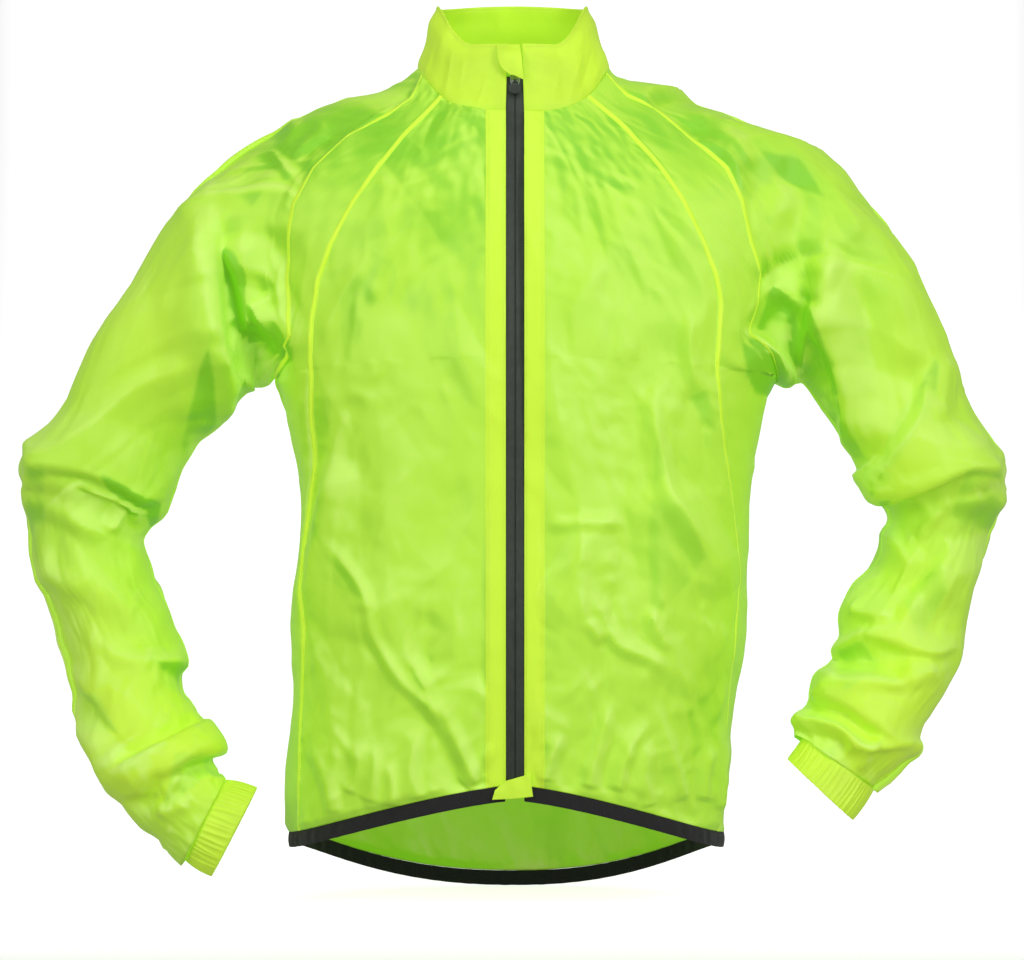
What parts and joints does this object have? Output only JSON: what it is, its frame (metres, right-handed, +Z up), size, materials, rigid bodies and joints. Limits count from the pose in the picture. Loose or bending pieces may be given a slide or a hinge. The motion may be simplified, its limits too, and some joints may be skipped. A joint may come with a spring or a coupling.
{
  "type": "rain jacket",
  "caption": "Worn-form light rain jacket: raglan sleeves bent at the elbow, full front zip with a swinging pull tab, stand-up collar, gathered cuffs and elastic hem.",
  "frame": {"origin": "middle of the neck, level with the shoulders' neck points, where the wearer's shoulders carry the jacket", "axes": "+X towards the wearer's left, -Y towards the front, +Z up"},
  "size_m": [0.859, 0.2806, 0.7936],
  "materials": {
    "shell": "thin fluorescent yellow-green coated nylon, smooth, slightly translucent, soft sheen",
    "double": "the same cloth doubled, so brighter and yellower",
    "zip_tape": "black coated zip tape, satin",
    "zip_coil": "black nylon coil",
    "elastic": "black woven elastic, matt",
    "metal": "grey die-cast slider",
    "rubber": "black moulded rubber, satin"
  },
  "bodies": {
    "jacket": {"front_left": "shell", "front_right": "shell", "side_left": "shell", "side_right": "shell", "back": "shell", "sleeve_front_left": "shell", "sleeve_front_right": "shell", "sleeve_back_left": "shell", "sleeve_back_right": "shell", "collar": "double", "cuff_left": "double", "cuff_right": "double", "facing_left": "double", "facing_right": "double", "zip_garage": "double", "hem_flap": "double", "zip_tape_left": "zip_tape", "zip_tape_right": "zip_tape", "zip_coil": "zip_coil", "hem_band": "elastic", "slider": "metal"},
    "pull": {"pull_tab": "rubber"}
  },
  "joints": [
    {"name": "pull_tab_swing", "type": "hinge", "parent": "jacket", "child": "pull", "pos_m": [0, -0.07879, -0.00898], "axis": [-1, 0, 0], "range_deg": [0, 90]}
  ]
}
